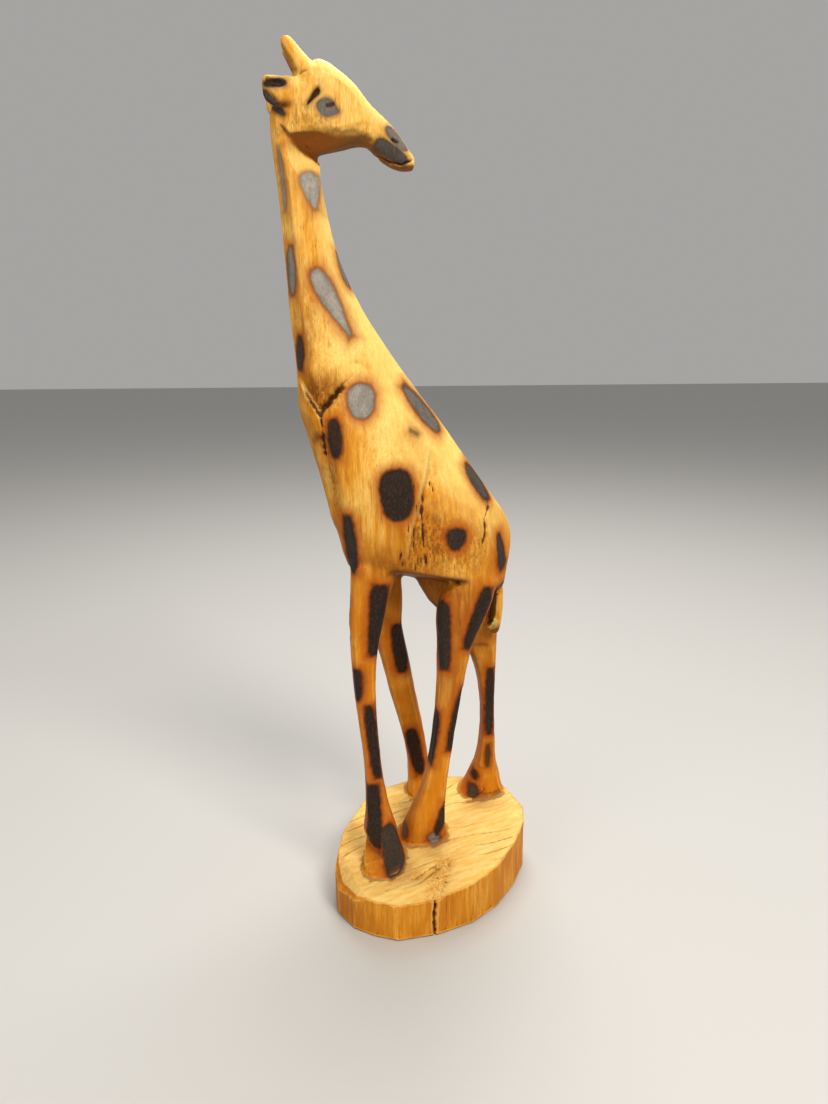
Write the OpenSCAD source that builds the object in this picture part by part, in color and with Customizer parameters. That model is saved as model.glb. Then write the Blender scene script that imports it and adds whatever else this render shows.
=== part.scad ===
// Standing giraffe carved from one block of light wood, on an irregular oval slab.
// The animal walks towards +X, its left side faces +Y, and its head is turned right
// round to look back over the rump. The origin is on the underside of the slab,
// below the middle of the body. The carving is divided at the carver's own lines:
// belly, shoulders, throat, roots of the ears and horns, and soles of the feet.

/* [Body] */
// Widest part of the belly, side to side
belly_w = 44; // [36:1:50]
// Height of the belly line between the front and rear legs
belly_h = 150; // [146:1:154]
// Sideways fall of the belly cut, rise per mm towards the left side
belly_fall = 0.33; // [0:0.01:0.4]
// Turn of the chest towards the left side, in degrees
chest_turn = 18; // [0:1:25]

/* [Neck and head] */
// Width of the neck below the head
neck_w = 17; // [14:0.5:20]
// Width of the head across the brows
head_w = 21; // [18:0.5:24]
// Width of the muzzle
muzzle_w = 11; // [8:0.5:13]
// Thickness of a horn at its tip
horn_tip_d = 5; // [3:0.1:6]
// Distance of each horn from the middle of the head
horn_y = 4.8; // [3.5:0.1:6]

/* [Legs] */
// Width of a leg below the knee, side to side
shin_w = 10.5; // [8:0.5:13]
// Width of a thigh or shoulder where it leaves the belly
thigh_w = 17.5; // [14:0.5:19]
// Thickness of the tail
tail_d = 5.5; // [4:0.5:7]

/* [Slab] */
// Thickness of the slab below the middle of the body
slab_h = 23.5; // [18:0.5:30]
// Width of the worn edge around the slab's top
slab_edge = 1; // [0.5:0.5:3]

/* [Smoothness] */
// Points around each rib
rib_points = 24; // [12:4:36]
// Extra ribs between two given ones
rib_steps = 2; // [1:1:4]

/* [Hidden] */

wood_light = "#d9a04e";
wood_honey = "#c9863a";
wood_deep = "#b8722e";

// Slopes of the slab's top and of the belly cut, in mm of height per mm
slab_slope = [-0.057, -0.061];
belly_slope = [0.18, belly_fall];

// Corners of the slab in plan, anticlockwise from the front
slab_corners = [
    [48, 23], [47, 34], [40, 45], [31, 51], [21, 55], [3, 53],
    [-14, 47], [-27, 37], [-38, 23], [-46, 8], [-48, -3], [-43, -20],
    [-38, -31], [-14, -36], [8, -36], [20, -32], [32, -23], [44, 1]
];
slab_middle = [0, 8];

// An upright rib is [height, back x, front x, middle y, width, turn, power]. The power
// sets how square it is: 1 gives an ellipse, a smaller power a boxier section.
torso_ribs = [
    [153, -32, 38, 0, belly_w - 2, 0, 0.55],
    [166, -35, 41, 0, belly_w - 0.5, 3, 0.6],
    [173, -35.5, 42.5, 0, belly_w, 4, 0.62],
    [181, -32.3, 45.5, 0, belly_w, 6, 0.66],
    [192, -24.5, 48, 0, belly_w - 0.5, 9, 0.7],
    [204, -16, 51, 0, belly_w - 2.5, 12, 0.74],
    [216, -8, 54.5, 0, belly_w - 6, 15, 0.78],
    [228, 0.5, 58, 0, belly_w - 10.5, chest_turn, 0.8]
];
neck_ribs = [
    torso_ribs[7],
    [240, 10, 58.4, 0, 28, chest_turn, 0.8],
    [252, 18.7, 58.8, 0, 24.5, chest_turn, 0.8],
    [266, 28, 60, 0, 21, chest_turn - 2, 0.82],
    [280, 35.5, 60.6, 0, 18.5, chest_turn - 4, 0.82],
    [294, 40.6, 61.4, 0, neck_w + 0.5, chest_turn - 6, 0.82],
    [308, 43.7, 62.2, 0, neck_w, 8, 0.82]
];
// Above that the ribs tilt back with the throat: [low x, low z, top x, top z, width].
head_power = 0.82;
throat_ribs = [
    [45.2, 316, 63.4, 322, neck_w],
    [46.2, 322, 64.4, 332, neck_w + 0.5],
    [46.5, 326, 64.6, 340, neck_w + 1]
];
head_ribs = [
    [46.5, 326, 64.6, 340, neck_w + 1],
    [46, 326.2, 61.5, 348, head_w - 2],
    [45, 326.5, 54, 355, head_w - 0.5],
    [43, 327, 45.5, 360.3, head_w],
    [38, 328, 38, 356.8, head_w - 1.5],
    [32, 329.5, 31.5, 352, head_w - 5],
    [27, 329.5, 26, 345.5, head_w - 8],
    [22.8, 325.5, 21.5, 341.5, muzzle_w + 0.5],
    [17, 322, 16, 336.5, muzzle_w],
    [12, 321, 11.5, 330.5, muzzle_w - 1.5],
    [8.5, 321.5, 8, 326, muzzle_w - 4.5]
];

leg_power = 0.7;
front_left_ribs = [
    [158, 17, 37.3, 11.5, thigh_w, 0, leg_power],
    [140, 22.5, 38, 12, thigh_w - 2, 0, leg_power],
    [123, 25.8, 38.3, 13.5, shin_w + 2.5, 0, leg_power],
    [98, 27, 36.7, 15.5, shin_w + 1, 0, leg_power],
    [71, 25.5, 33.5, 18, shin_w, 0, leg_power],
    [50, 22.8, 32.8, 20.5, shin_w + 0.5, 0, leg_power],
    [36, 19, 33.7, 22.5, shin_w + 5, 0, leg_power],
    [22, 15.5, 34, 25, 25, -15, leg_power]
];
front_right_ribs = [
    [148, 13, 36.5, -11.5, thigh_w, 0, leg_power],
    [123, 12.6, 28, -13.5, thigh_w - 4, 0, leg_power],
    [106, 9.3, 23, -15.5, shin_w + 1.5, 0, leg_power],
    [88, 6, 19, -18, shin_w + 0.5, 0, leg_power],
    [64, 1.3, 12.6, -21.5, shin_w, 0, leg_power],
    [46, -1.8, 9.2, -24, shin_w + 0.5, 0, leg_power],
    [34, -2.5, 8.5, -26, shin_w + 3, 0, leg_power],
    [25, -4, 9, -26.5, 17, 0, leg_power]
];
rear_left_ribs = [
    [155, -28.5, -10, 11.5, thigh_w, 0, leg_power],
    [147, -26.5, -4, 11.5, thigh_w - 0.5, 0, leg_power],
    [141, -24.5, -1.2, 12, thigh_w - 1, 0, leg_power],
    [126, -18, -1, 11.5, thigh_w - 4, 0, leg_power],
    [111, -14.8, -1.2, 11, shin_w + 1, 0, leg_power],
    [93, -12.2, -0.8, 10.5, shin_w, 0, leg_power],
    [66, -8.2, 1.9, 10, shin_w, 0, leg_power],
    [48, -6.4, 5.8, 9.5, shin_w + 1, 0, leg_power],
    [35, -5.5, 11, 9.5, shin_w + 4, 0, leg_power],
    [23, -6.5, 16.5, 8, 19, 0, leg_power]
];
rear_right_ribs = [
    [143, -31, 7, -11.5, thigh_w, 0, leg_power],
    [128, -33, -8, -12, thigh_w - 2, 0, leg_power],
    [112, -33.8, -18.5, -14, thigh_w - 5, 0, leg_power],
    [96, -34, -24.6, -16, shin_w, 0, leg_power],
    [76, -34.5, -27.6, -18.5, shin_w - 1, 0, leg_power],
    [58, -35.8, -28, -21, shin_w - 0.5, 0, leg_power],
    [42, -37, -26, -22, shin_w + 2, 0, leg_power],
    [26, -41, -18, -22.5, 17, 0, leg_power]
];

// An ear is a flat leaf that points back from the head: [x, y, z] of its ends, and
// its [length, thickness, height] there
ear_root = [53, 7.5, 346];
ear_tip = [65, 11, 348.5];
ear_root_size = [5, 5, 13];
ear_tip_size = [3, 2.5, 7];
horn_root = [49.5, 354];
horn_tip = [56.8, 364.3];
horn_root_d = 9.5;
leaf_slices = 8;

// The tail hangs down the back of the rump: [x, z], y is the same all the way.
tail_line = [[-28, 168], [-30.5, 162], [-31, 156], [-31, 150], [-31, 144],
             [-30.9, 138], [-30.8, 133], [-30.7, 128], [-30.5, 124]];
tail_y = -1.5;

// Height of a sloping cut at a point
function cut_z(h, slope, p) = h + slope.x * p.x + slope.y * p.y;

// Either kind of rib as [low x, low z, top x, top z, y, width, turn, power]
function upright(r) = [r[1], r[0], r[2], r[0], r[3], r[4], r[5], r[6]];
function tilted(r) = [r[0], r[1], r[2], r[3], 0, r[4], 0, head_power];
function uprights(ribs) = [for (r = ribs) upright(r)];
function tilteds(ribs) = [for (r = ribs) tilted(r)];

// Smooth run of ribs through the given ones
function blend(a, b, c, d, t) =
    0.5 * (2 * b + (c - a) * t + (2 * a - 5 * b + 4 * c - d) * t * t
           + (3 * b - a - 3 * c + d) * t * t * t);
function smooth(ribs) =
    let (last = len(ribs) - 1)
    concat([for (i = [0 : last - 1], s = [0 : rib_steps - 1])
                blend(ribs[max(i - 1, 0)], ribs[i], ribs[i + 1], ribs[min(i + 2, last)], s / rib_steps)],
           [ribs[last]]);

function power(v, p) = sign(v) * pow(abs(v), p);

// Points around a rib
function ring(r) =
    let (axis = [r[2] - r[0], r[3] - r[1]],
         half_l = norm(axis) / 2,
         half_w = r[5] / 2,
         dir = axis / norm(axis),
         turn = r[6])
    [for (i = [0 : rib_points - 1])
        let (a = 360 * i / rib_points,
             u = half_l * power(cos(a), r[7]),
             v = half_w * power(sin(a), r[7]),
             along = u * cos(turn) - v * sin(turn),
             across = u * sin(turn) + v * cos(turn))
        [(r[0] + r[2]) / 2 + along * dir.x, r[4] + across, (r[1] + r[3]) / 2 + along * dir.y]];
function rings(ribs) = [for (r = smooth(ribs)) ring(r)];

// A ring dropped or lifted onto a sloping cut
function on_cut(points, h, slope) = [for (q = points) [q.x, q.y, cut_z(h, slope, q)]];
function on_slab(points) = on_cut(points, slab_h, slab_slope);
function on_belly(points) = on_cut(points, belly_h, belly_slope);

// Closed skin over a stack of rings that all have the same number of points
module skin(stack) {
    n = len(stack[0]);
    last = len(stack) - 1;
    points = [for (r = stack) each r];
    sides = [for (k = [0 : last - 1], i = [0 : n - 1])
        [k * n + i, (k + 1) * n + i, (k + 1) * n + (i + 1) % n, k * n + (i + 1) % n]];
    caps = [[for (i = [0 : n - 1]) i], [for (i = [n - 1 : -1 : 0]) last * n + i]];
    polyhedron(points, concat(sides, caps), convexity = 6);
}

// A leg's skin runs from the belly cut down to the slab's top
module leg(ribs) {
    stack = rings(uprights(ribs));
    last = len(stack) - 1;
    down = concat([on_belly(stack[0])], [for (k = [1 : last - 1]) stack[k]], [on_slab(stack[last])]);
    skin([for (k = [last : -1 : 0]) down[k]]);
}

module head_skin() skin(rings(tilteds(head_ribs)));

module torso_skin() {
    stack = rings(uprights(torso_ribs));
    skin(concat([on_belly(stack[0])], [for (k = [rib_steps : len(stack) - 1]) stack[k]]));
}

// One outline of the slab, drawn in by a margin
function slab_ring(margin) =
    [for (c = slab_corners) let (d = c - slab_middle) slab_middle + d * (1 - margin / norm(d))];
function slab_level(margin, z) = [for (c = slab_ring(margin)) [c.x, c.y, z]];

module slab() {
    color(wood_light)
    skin([
        slab_level(slab_edge / 2, 0),
        slab_level(0, slab_edge / 2),
        [for (q = on_slab(slab_level(0, 0))) q - [0, 0, slab_edge]],
        on_slab(slab_level(slab_edge, 0))
    ]);
}

module leg_front_left() color(wood_honey) leg(front_left_ribs);

module leg_front_right() color(wood_deep) leg(front_right_ribs);

module leg_rear_left() color(wood_honey) leg(rear_left_ribs);

module leg_rear_right() color(wood_deep) leg(rear_right_ribs);

module torso() color(wood_honey) torso_skin();

module neck() {
    color(wood_light) skin(rings(concat(uprights(neck_ribs), tilteds(throat_ribs))));
}

module head() color(wood_light) head_skin();

function mix(a, b, t) = a + (b - a) * t;
function mirrored(p, side) = [p.x, side * p.y, p.z];

// Slices of an ear or a horn are joined in pairs, then cut back to the head
module ear_leaf(side) {
    for (k = [0 : leaf_slices - 1])
        hull()
            for (t = [k / leaf_slices, (k + 1) / leaf_slices])
                translate(mirrored(mix(ear_root, ear_tip, t), side))
                    scale(mix(ear_root_size, ear_tip_size, t)) sphere(d = 1, $fn = 16);
}

module ear(side) {
    difference() {
        ear_leaf(side);
        head_skin();
    }
}

module horn(side) {
    difference() {
        for (k = [0 : leaf_slices - 1])
            hull()
                for (t = [k / leaf_slices, (k + 1) / leaf_slices])
                    translate([mix(horn_root, horn_tip, t).x, side * horn_y, mix(horn_root, horn_tip, t).y])
                        sphere(d = mix(horn_root_d, horn_tip_d, pow(t, 0.7)), $fn = 16);
        head_skin();
        ear_leaf(side);
    }
}

module ear_left() color(wood_honey) ear(-1);

module ear_right() color(wood_honey) ear(1);

module horn_left() color(wood_honey) horn(-1);

module horn_right() color(wood_honey) horn(1);

module tail() {
    color(wood_deep)
    difference() {
        for (k = [0 : len(tail_line) - 2])
            hull()
                for (p = [tail_line[k], tail_line[k + 1]])
                    translate([p.x, tail_y, p.y]) sphere(d = tail_d, $fn = 16);
        torso_skin();
        leg(rear_left_ribs);
        leg(rear_right_ribs);
    }
}

slab();
leg_front_left();
leg_front_right();
leg_rear_left();
leg_rear_right();
torso();
tail();
neck();
head();
ear_left();
ear_right();
horn_left();
horn_right();
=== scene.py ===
"""A carved giraffe statue: the looks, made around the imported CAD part.

The CAD pieces are melted into one block of wood, which is carved with knives and gouges, scorched
with a hot iron, and parted again at the carver's own lines. The giraffe faces +X, its left side
is +Y, and +Z is up. Lengths are in mm until the pieces are made, which are in metres.
"""
import math
from contextlib import contextmanager

import bmesh
import bpy
import numpy as np
from mathutils import Matrix, Vector
from mathutils.bvhtree import BVHTree


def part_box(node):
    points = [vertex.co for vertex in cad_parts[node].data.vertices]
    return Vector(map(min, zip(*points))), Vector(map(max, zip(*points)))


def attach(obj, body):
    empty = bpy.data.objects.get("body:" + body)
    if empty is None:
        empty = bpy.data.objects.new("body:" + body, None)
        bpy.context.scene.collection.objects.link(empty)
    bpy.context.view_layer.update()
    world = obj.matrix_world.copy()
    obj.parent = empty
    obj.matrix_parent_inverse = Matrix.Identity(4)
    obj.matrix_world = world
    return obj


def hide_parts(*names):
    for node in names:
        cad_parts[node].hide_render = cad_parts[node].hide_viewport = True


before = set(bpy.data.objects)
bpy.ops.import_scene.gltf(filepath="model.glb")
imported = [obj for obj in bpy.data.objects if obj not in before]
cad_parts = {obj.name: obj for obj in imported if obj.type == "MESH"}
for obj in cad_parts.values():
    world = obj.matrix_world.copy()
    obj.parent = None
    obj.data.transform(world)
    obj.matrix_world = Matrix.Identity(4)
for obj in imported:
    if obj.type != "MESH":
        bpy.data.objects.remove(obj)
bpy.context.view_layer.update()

MM = 0.001
VOXEL = 0.6
LEGS = ("leg_front_left", "leg_front_right", "leg_rear_left", "leg_rear_right")
NORMAL_FIELDS = ("nx", "ny", "nz")
SEED = 7
FAR_OFF = 1e9

# The carver's lines, as part.scad has them: each height is h + slope x * x + slope y * y
SLAB_TOP = (23.5, -0.057, -0.061)
BELLY = (150, 0.18, 0.33)
SHOULDER_Z = 228
THROAT = ((46.5, 326), (64.6, 340))

# Heights where the work changes: on the legs, on the body, at the top of the neck, and on the head
ON_LEGS_Z = 30
BODY_Z = 158
NECK_TOP_Z = 316
HEAD_Z = 318
HORNS_Z = 354


# ---- arrays and shapes

def plane_z(plane, p):
    """Height of a sloping plane at each point."""
    return plane[0] + plane[1] * p[:, 0] + plane[2] * p[:, 1]


def ramp(t):
    """Smooth step from 0 to 1."""
    t = np.clip(t, 0, 1)
    return t * t * (3 - 2 * t)


def unit(v):
    """The same direction, one long."""
    v = np.asarray(v, float)
    return v / np.linalg.norm(v)


def hashed(i, j, k, seed):
    """Repeatable value from -1 to 1 for each lattice point. The large numbers only mix the bits."""
    n = (i * 374761393 + j * 668265263 + k * 2147483647 + seed * 974634777) & 0xFFFFFFFF
    n = ((n ^ (n >> 13)) * 1274126177) & 0xFFFFFFFF
    return ((n ^ (n >> 16)) & 0xFFFF) / 32767.5 - 1


def noise(p, size, seed=SEED):
    """Smooth noise from -1 to 1; size is the width of its lumps in mm, alike or one for each axis."""
    q = p / np.asarray(size, float)
    cell = np.floor(q).astype(np.int64)
    f = ramp(q - cell)
    total = 0
    for corner in np.ndindex(2, 2, 2):
        weight = 1
        for axis, upper in enumerate(corner):
            weight = weight * (f[:, axis] if upper else 1 - f[:, axis])
        total = total + weight * hashed(*(cell + corner).T, seed)
    return total


def gathered(items, key, kind=float, width=1):
    """One value of each item of a mesh, or as many as width says, in one long array."""
    values = np.empty(len(items) * width, kind)
    items.foreach_get(key, values)
    return values


def read(mesh):
    """Vertices of a mesh as an array."""
    return gathered(mesh.vertices, "co", width=3).reshape(-1, 3)


def write(mesh, p):
    """Vertices of a mesh from an array."""
    mesh.vertices.foreach_set("co", p.ravel())
    mesh.update()


def normals(mesh, p):
    """The mesh takes the places p, and its vertex normals come back."""
    write(mesh, p)
    return gathered(mesh.vertex_normals, "vector", width=3).reshape(-1, 3)


def add_field(mesh, name, values):
    """A value for each vertex, for the wood's looks."""
    mesh.attributes.new(name, "FLOAT", "POINT").data.foreach_set("value", values.astype(np.float32))


def placed(name, data):
    """A new object in the scene."""
    ob = bpy.data.objects.new(name, data)
    bpy.context.scene.collection.objects.link(ob)
    return ob


def smoothed(mesh, p, rounds):
    """Each vertex is eased towards its neighbours as many times as rounds says for it."""
    edges = gathered(mesh.edges, "vertices", np.int64, 2)
    ends = np.concatenate([edges[0::2], edges[1::2]])
    others = np.concatenate([edges[1::2], edges[0::2]])
    count = np.bincount(ends, minlength=len(p))
    p = p.copy()
    for k in range(int(rounds.max())):
        share = 0.5 * np.clip(rounds - k, 0, 1)
        for axis in range(3):
            mean = np.bincount(ends, p[others, axis], len(p)) / count
            p[:, axis] += share * (mean - p[:, axis])
    return p


def beside(p, line):
    """Distance to a polyline, share of its length at the nearest point, and the nearest points."""
    line = np.asarray(line, float)
    lengths = np.linalg.norm(np.diff(line, axis=0), axis=1)
    starts = np.concatenate([[0], np.cumsum(lengths)])
    best = np.full(len(p), FAR_OFF)
    share = np.zeros(len(p))
    near = np.zeros_like(p)
    for k, length in enumerate(lengths):
        d = (line[k + 1] - line[k]) / length
        t = np.clip((p - line[k]) @ d, 0, length)
        q = line[k] + t[:, None] * d
        gap = np.linalg.norm(p - q, axis=1)
        closer = gap < best
        best[closer] = gap[closer]
        share[closer] = (starts[k] + t[closer]) / starts[-1]
        near[closer] = q[closer]
    return best, share, near


def gap_from(p, middle, reach):
    """Distance from a point, as a share of the reach along each axis."""
    return np.linalg.norm((p - np.asarray(middle, float)) / reach, axis=1)


def centreline(name):
    """Middle of a CAD node at its own heights: rows of z, x, y."""
    p = read(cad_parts[name].data) / MM
    heights = np.linspace(p[:, 2].min(), p[:, 2].max(), 16)
    rows = []
    for low, high in zip(heights, heights[1:]):
        part = p[(p[:, 2] >= low) & (p[:, 2] <= high)]
        if len(part):
            middle = (part.max(0) + part.min(0)) / 2
            rows.append((part[:, 2].mean(), middle[0], middle[1]))
    return np.array(sorted(rows))


CENTRES = {name: centreline(name) for name in LEGS}


def nearest_leg(p):
    """Index in LEGS of the leg whose middle is nearest at each point's height."""
    gaps = []
    for name in LEGS:
        c = CENTRES[name]
        x = np.interp(p[:, 2], c[:, 0], c[:, 1])
        y = np.interp(p[:, 2], c[:, 0], c[:, 2])
        gaps.append(np.hypot(p[:, 0] - x, p[:, 1] - y))
    return np.argmin(gaps, axis=0)


# ---- the block of wood

def remeshed(mesh, size):
    """The outer skin of a mesh, made again of even squares."""
    ob = placed("work", mesh)
    voxels = ob.modifiers.new("voxels", "REMESH")
    voxels.mode = "VOXEL"
    voxels.voxel_size = size
    made = bpy.data.meshes.new_from_object(ob.evaluated_get(bpy.context.evaluated_depsgraph_get()))
    bpy.data.objects.remove(ob)
    return made


def drop_crumbs(bm):
    """Only the largest connected part stays."""
    bm.verts.index_update()
    seen = np.zeros(len(bm.verts), bool)
    parts = []
    for v in bm.verts:
        if not seen[v.index]:
            seen[v.index] = True
            part, queue = [], [v]
            while queue:
                w = queue.pop()
                part.append(w)
                for e in w.link_edges:
                    o = e.other_vert(w)
                    if not seen[o.index]:
                        seen[o.index] = True
                        queue.append(o)
            parts.append(part)
    parts.sort(key=len)
    for part in parts[:-1]:
        bmesh.ops.delete(bm, geom=part, context="VERTS")


@contextmanager
def edited(mesh):
    """The mesh as a bmesh, which is written back at the end."""
    bm = bmesh.new()
    bm.from_mesh(mesh)
    yield bm
    bm.to_mesh(mesh)
    bm.free()


def refine(mesh, wanted):
    """Faces whose middle the wanted function picks are split in four."""
    with edited(mesh) as bm:
        picked = wanted(np.array([f.calc_center_median() for f in bm.faces]))
        edges = {e for f, yes in zip(bm.faces, picked) if yes for e in f.edges}
        bmesh.ops.subdivide_edges(bm, edges=list(edges), cuts=1, use_grid_fill=True)


def melt():
    """All the CAD nodes as one skin."""
    bm = bmesh.new()
    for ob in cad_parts.values():
        bm.from_mesh(ob.data)
    bmesh.ops.scale(bm, vec=(1 / MM,) * 3, verts=bm.verts)
    soup = bpy.data.meshes.new("soup")
    bm.to_mesh(soup)
    bm.free()
    mesh = remeshed(soup, VOXEL)
    with edited(mesh) as bm:
        drop_crumbs(bm)
    return mesh


def ease(mesh):
    """Knife facets of the CAD ribs are eased away, more on the body than on small parts."""
    p = read(mesh)
    z = p[:, 2]
    above_slab = z - plane_z(SLAB_TOP, p)
    above_belly = z - plane_z(BELLY, p)
    scale = (0.6 / VOXEL) ** 2
    rounds = np.interp(above_slab, [-1, 0.3, 3, 10], [1, 4, 10, 12]) * scale
    body = np.interp(above_belly, [-8, 10], [0, 1])
    rounds = rounds + body * 45 * scale * np.interp(z, [300, 322], [1, 0])
    rounds = np.where(z > HEAD_Z, 8 * scale, rounds)
    ears = (p[:, 0] > 55) & (z > 340)
    rounds = np.where(ears | (z > HORNS_Z), 3 * scale, rounds)
    return smoothed(mesh, p, rounds)


# ---- knives and gouges

def shave(p, mask, azimuths, depth, span):
    """A long flat cut down the part of the wood in the mask, between two heights. The cut faces
    azimuths[0] at the bottom and azimuths[1] at the top, and goes depth below the widest point."""
    step = 3.0
    picked = np.where(mask & (p[:, 2] > span[0]) & (p[:, 2] < span[1]))[0]
    q = p[picked]
    t = (q[:, 2] - span[0]) / (span[1] - span[0])
    azimuth = np.radians(azimuths[0] + (azimuths[1] - azimuths[0]) * t)
    face = np.stack([np.cos(azimuth), np.sin(azimuth), np.zeros(len(q))], 1)
    reach = (q * face).sum(1)
    shelf = ((q[:, 2] - span[0]) / step).astype(int)
    widest = np.full(shelf.max() + 1, -FAR_OFF)
    np.maximum.at(widest, shelf, reach)
    kernel = np.array([1, 2, 3, 2, 1]) / 9
    widest = np.convolve(np.pad(widest, 2, mode="edge"), kernel, mode="valid")
    middles = span[0] + (np.arange(len(widest)) + 0.5) * step
    fade = ramp(t * 6) * ramp((1 - t) * 6)
    limit = np.interp(q[:, 2], middles, widest) - depth * fade + 0.6 * (1 - fade)
    over = np.clip(reach - limit, 0, None)
    p[picked] -= over[:, None] * face


def slice_off(p, point, face, near, reach, share=1.0):
    """A plane cut within reach: what stands beyond the plane through the point is brought onto it."""
    face = unit(face)
    over = np.clip((p - np.asarray(point, float)) @ face, 0, None)
    gap = np.linalg.norm(p - np.asarray(near, float), axis=1)
    p -= (over * share * ramp((reach - gap) / (0.25 * reach)))[:, None] * face


def groove(p, line, width, rough):
    """How deep in a groove along a polyline each vertex lies, from 0 to 1."""
    gap, share, _ = beside(p, line)
    gap = gap + rough * noise(p, 1.3, SEED + 3)
    ends = ramp(share * 5 + 0.25) * ramp((1 - share) * 5 + 0.25)
    return ramp(1 - gap / width) * ends


def sink(p, n, dark, cut, depth, darkness):
    """Lowers the wood by as much as it is cut, and darkens the cut: painted shade in cuts and cracks, char in
    the face's burnt lines.
    """
    p -= (cut * depth)[:, None] * n
    dark[:] = np.maximum(dark, darkness * cut)


def score(p, n, dark, line, width, depth, rough, darkness):
    """A groove along a polyline of points x, y, z."""
    sink(p, n, dark, groove(p, line, width, rough), depth, darkness)


def score_side(p, n, dark, line, width, depth, rough, darkness, where=True):
    """A groove drawn on a side of the wood by x and z alone. It goes through to the other side too,
    unless the where mask leaves that out."""
    drawn = [(point[0], 0, point[-1]) for point in line]
    sink(p, n, dark, groove(p * (1, 0, 1), drawn, width, rough) * where, depth, darkness)


def undercut(p, n, line, side, reach, depth):
    """A step: the wood on one side of a polyline is lowered, most of all at the line."""
    gap, share, near = beside(p, line)
    behind = ((p - near) @ unit(side)) > 0
    ends = ramp(share * 4) * ramp((1 - share) * 4)
    cut = np.where(behind, ramp(1 - gap / reach), ramp(1 - gap / 0.5)) * ends
    p -= (cut * depth)[:, None] * n


def fissures(p, n, dark, line, count, spread, length, seed):
    """Short upright cracks scattered beside a polyline."""
    pick = np.random.default_rng(seed)
    gap = beside(p, line)[0]
    near = np.where(gap < spread + length)[0]
    for k in pick.choice(np.where((gap < spread) & (n[:, 1] > 0.4))[0], count):
        centre = p[k].copy()
        size = length * pick.uniform(0.4, 1)
        ends = centre + np.outer((-0.5, 0, 0.5), (pick.uniform(-0.5, 0.1), 0, size))
        cut = groove(p[near], ends, 0.55, 0.2)
        p[near] -= (cut * 0.5)[:, None] * n[near]
        dark[near] = np.maximum(dark[near], 0.95 * cut)


def gouge(p, n, wanted, count, radius, depth, seed):
    """Shallow dished strokes scattered over the wood that the wanted mask picks."""
    pick = np.random.default_rng(seed)
    order = np.argsort(p[:, 2])
    heights = p[order, 2]
    for k in pick.choice(np.where(wanted)[0], count, replace=False):
        centre, face = p[k].copy(), n[k]
        size = radius * pick.uniform(0.7, 1.3)
        low, high = np.searchsorted(heights, [centre[2] - size, centre[2] + size])
        around = order[low:high]
        d = p[around] - centre
        close = 1 - (d * d).sum(1) / size**2
        over = np.clip(d @ face + depth * close, 0, 2.5 * depth * np.clip(close, 0, 1))
        p[around] -= over[:, None] * face


# ---- scorched spots

# Each spot is (x, y, z), the way it faces in degrees from +X, half its length, half its width, the
# lean of its top towards +X in degrees, how much wider it is at the top, how square it is, how grey
# its char is, and how deep the burn is.
# The grey of the char is ash, together with a painted sheen of light on it.
NECK_SPOTS = [
    ((60.6, 6, 317), 45, 11.5, 1.1, 0, 0, 2, 0.9, 0.75),
    ((49.2, 8.5, 312.8), 90, 6.8, 3.0, 10, 0.7, 2.4, 1, 1),
    ((59, 6.5, 283), 50, 9, 2.1, 0, 0, 2, 0.8, 1),
    ((42.2, 10, 270.4), 90, 14.6, 2.7, 29, 0.65, 2.2, 0.95, 1),
    ((37.3, 2, 283.5), 165, 6.5, 1.8, 0, 0, 2, 0.7, 1),
    ((56.6, 9.3, 251), 50, 6.6, 2.0, 0, 0, 2, 0.3, 0.9),
]
BODY_SPOTS = [
    ((31.6, 16, 232.2), 90, 6.6, 5.3, 0, 0.1, 2.4, 0.9, 1),
    ((42.8, 20, 217.4), 85, 7.8, 2.5, 4, 0.1, 2.4, 0.1, 0.9),
    ((5.2, 7.5, 228), 112, 11.5, 3.1, 36, -0.2, 2, 0.6, 1),
    ((9.5, 14.5, 218.8), 95, 2, 0.7, 62, 0, 2, 0.3, 0.5),
    ((17.6, 22, 193.7), 90, 10.3, 6.5, 4, 0.12, 2.7, 0.1, 1),
    ((37.6, 17.5, 172), 78, 12.5, 2.5, 3, -0.05, 2.6, 0.2, 1),
    ((-7.7, 21, 173.7), 90, 4.3, 3.7, 0, 0.3, 2.3, 0.2, 1),
    ((-18.8, 9, 196.2), 112, 8.4, 3.1, 28, -0.1, 2.1, 0.4, 1),
    ((-29.2, 14.5, 165.6), 128, 7.6, 2.6, -4, -0.1, 2.2, 0.3, 1),
]
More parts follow.
